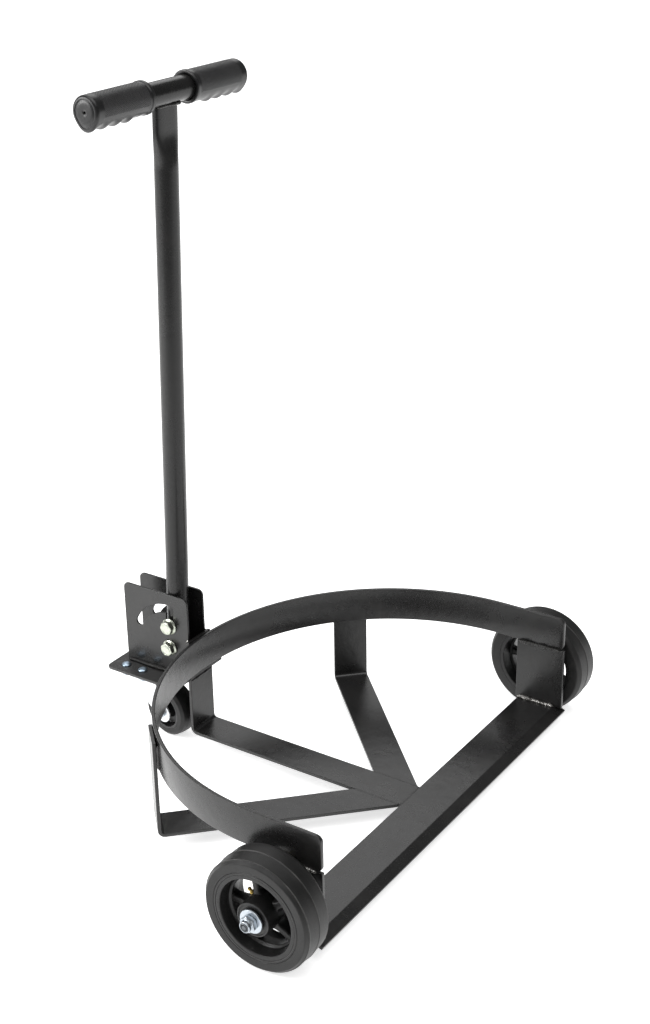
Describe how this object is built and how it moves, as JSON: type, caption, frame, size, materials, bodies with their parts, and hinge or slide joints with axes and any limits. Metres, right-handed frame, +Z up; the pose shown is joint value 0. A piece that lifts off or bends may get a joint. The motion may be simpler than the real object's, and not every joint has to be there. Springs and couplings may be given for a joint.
{
  "type": "wheel dolly",
  "caption": "Three-wheeled steel dolly: an open hoop on bent spokes and a low cross bar, two fixed wheels, a rear swivel caster and a T-handle.",
  "frame": {"origin": "on the floor, under the middle of the bounding box", "axes": "+Z up, +Y from the open front of the hoop towards the handle, +X to the right as seen from the front"},
  "size_m": [0.794, 0.5716, 0.9517],
  "materials": {
    "black_paint": "satin black paint over welded flat steel",
    "zinc": "bright zinc plated steel",
    "tyre_rubber": "matt black rubber",
    "cast_centre": "black painted casting",
    "caster_plastic": "matt black plastic",
    "grip_rubber": "dark grey knurled rubber",
    "bronze": "oiled sintered bronze",
    "brass": "bright yellow brass"
  },
  "bodies": {
    "frame": {"ball_ring": "zinc", "bracket_plate": "black_paint", "caster_plate": "zinc", "cross_bar": "black_paint", "hoop": "black_paint", "king_pin": "zinc", "left_ear": "black_paint", "left_side_plate": "black_paint", "left_spoke": "black_paint", "left_wheel_inner_washer": "zinc", "left_wheel_nut": "zinc", "left_wheel_outer_washer": "zinc", "left_wheel_stud": "zinc", "pivot_bolt": "zinc", "pivot_nut": "zinc", "plate_bolt_1": "zinc", "plate_bolt_2": "zinc", "plate_bolt_3": "zinc", "plate_bolt_4": "zinc", "plate_nut_1": "zinc", "plate_nut_2": "zinc", "plate_nut_3": "zinc", "plate_nut_4": "zinc", "rear_spoke": "black_paint", "right_ear": "black_paint", "right_side_plate": "black_paint", "right_spoke": "black_paint", "right_wheel_inner_washer": "zinc", "right_wheel_nut": "zinc", "right_wheel_outer_washer": "zinc", "right_wheel_stud": "zinc", "swivel_race": "zinc"},
    "handle": {"handle_tube": "black_paint", "t_bar": "black_paint", "left_grip": "grip_rubber", "right_grip": "grip_rubber", "lock_bolt": "zinc", "lock_nut": "zinc"},
    "left_wheel": {"left_wheel_tyre": "tyre_rubber", "left_wheel_centre": "cast_centre", "left_wheel_bush": "bronze", "left_wheel_grease_nipple": "brass"},
    "right_wheel": {"right_wheel_tyre": "tyre_rubber", "right_wheel_centre": "cast_centre", "right_wheel_bush": "bronze", "right_wheel_grease_nipple": "brass"},
    "caster_fork": {"caster_fork": "zinc", "caster_axle_sleeve": "zinc", "caster_axle_bolt": "zinc", "caster_axle_nut": "zinc"},
    "caster_wheel": {"caster_tyre": "tyre_rubber", "caster_centre": "caster_plastic"}
  },
  "joints": [
    {"name": "left_wheel_spin", "type": "hinge", "parent": "frame", "child": "left_wheel", "pos_m": [-0.35175, -0.20985, 0.076], "axis": [1, 0, 0], "continuous": true},
    {"name": "right_wheel_spin", "type": "hinge", "parent": "frame", "child": "right_wheel", "pos_m": [0.35175, -0.20985, 0.076], "axis": [1, 0, 0], "continuous": true},
    {"name": "caster_swivel", "type": "hinge", "parent": "frame", "child": "caster_fork", "pos_m": [0, 0.24745, 0.105], "axis": [0, 0, 1], "continuous": true},
    {"name": "caster_wheel_spin", "type": "hinge", "parent": "caster_fork", "child": "caster_wheel", "pos_m": [-0.00557, 0.20784, 0.04], "axis": [0.9903, -0.1392, 0], "continuous": true},
    {"name": "handle_lift", "type": "slide", "parent": "frame", "child": "handle", "axis": [0, -0.0354, 0.9994], "range_m": [0, 0.0255]}
  ]
}
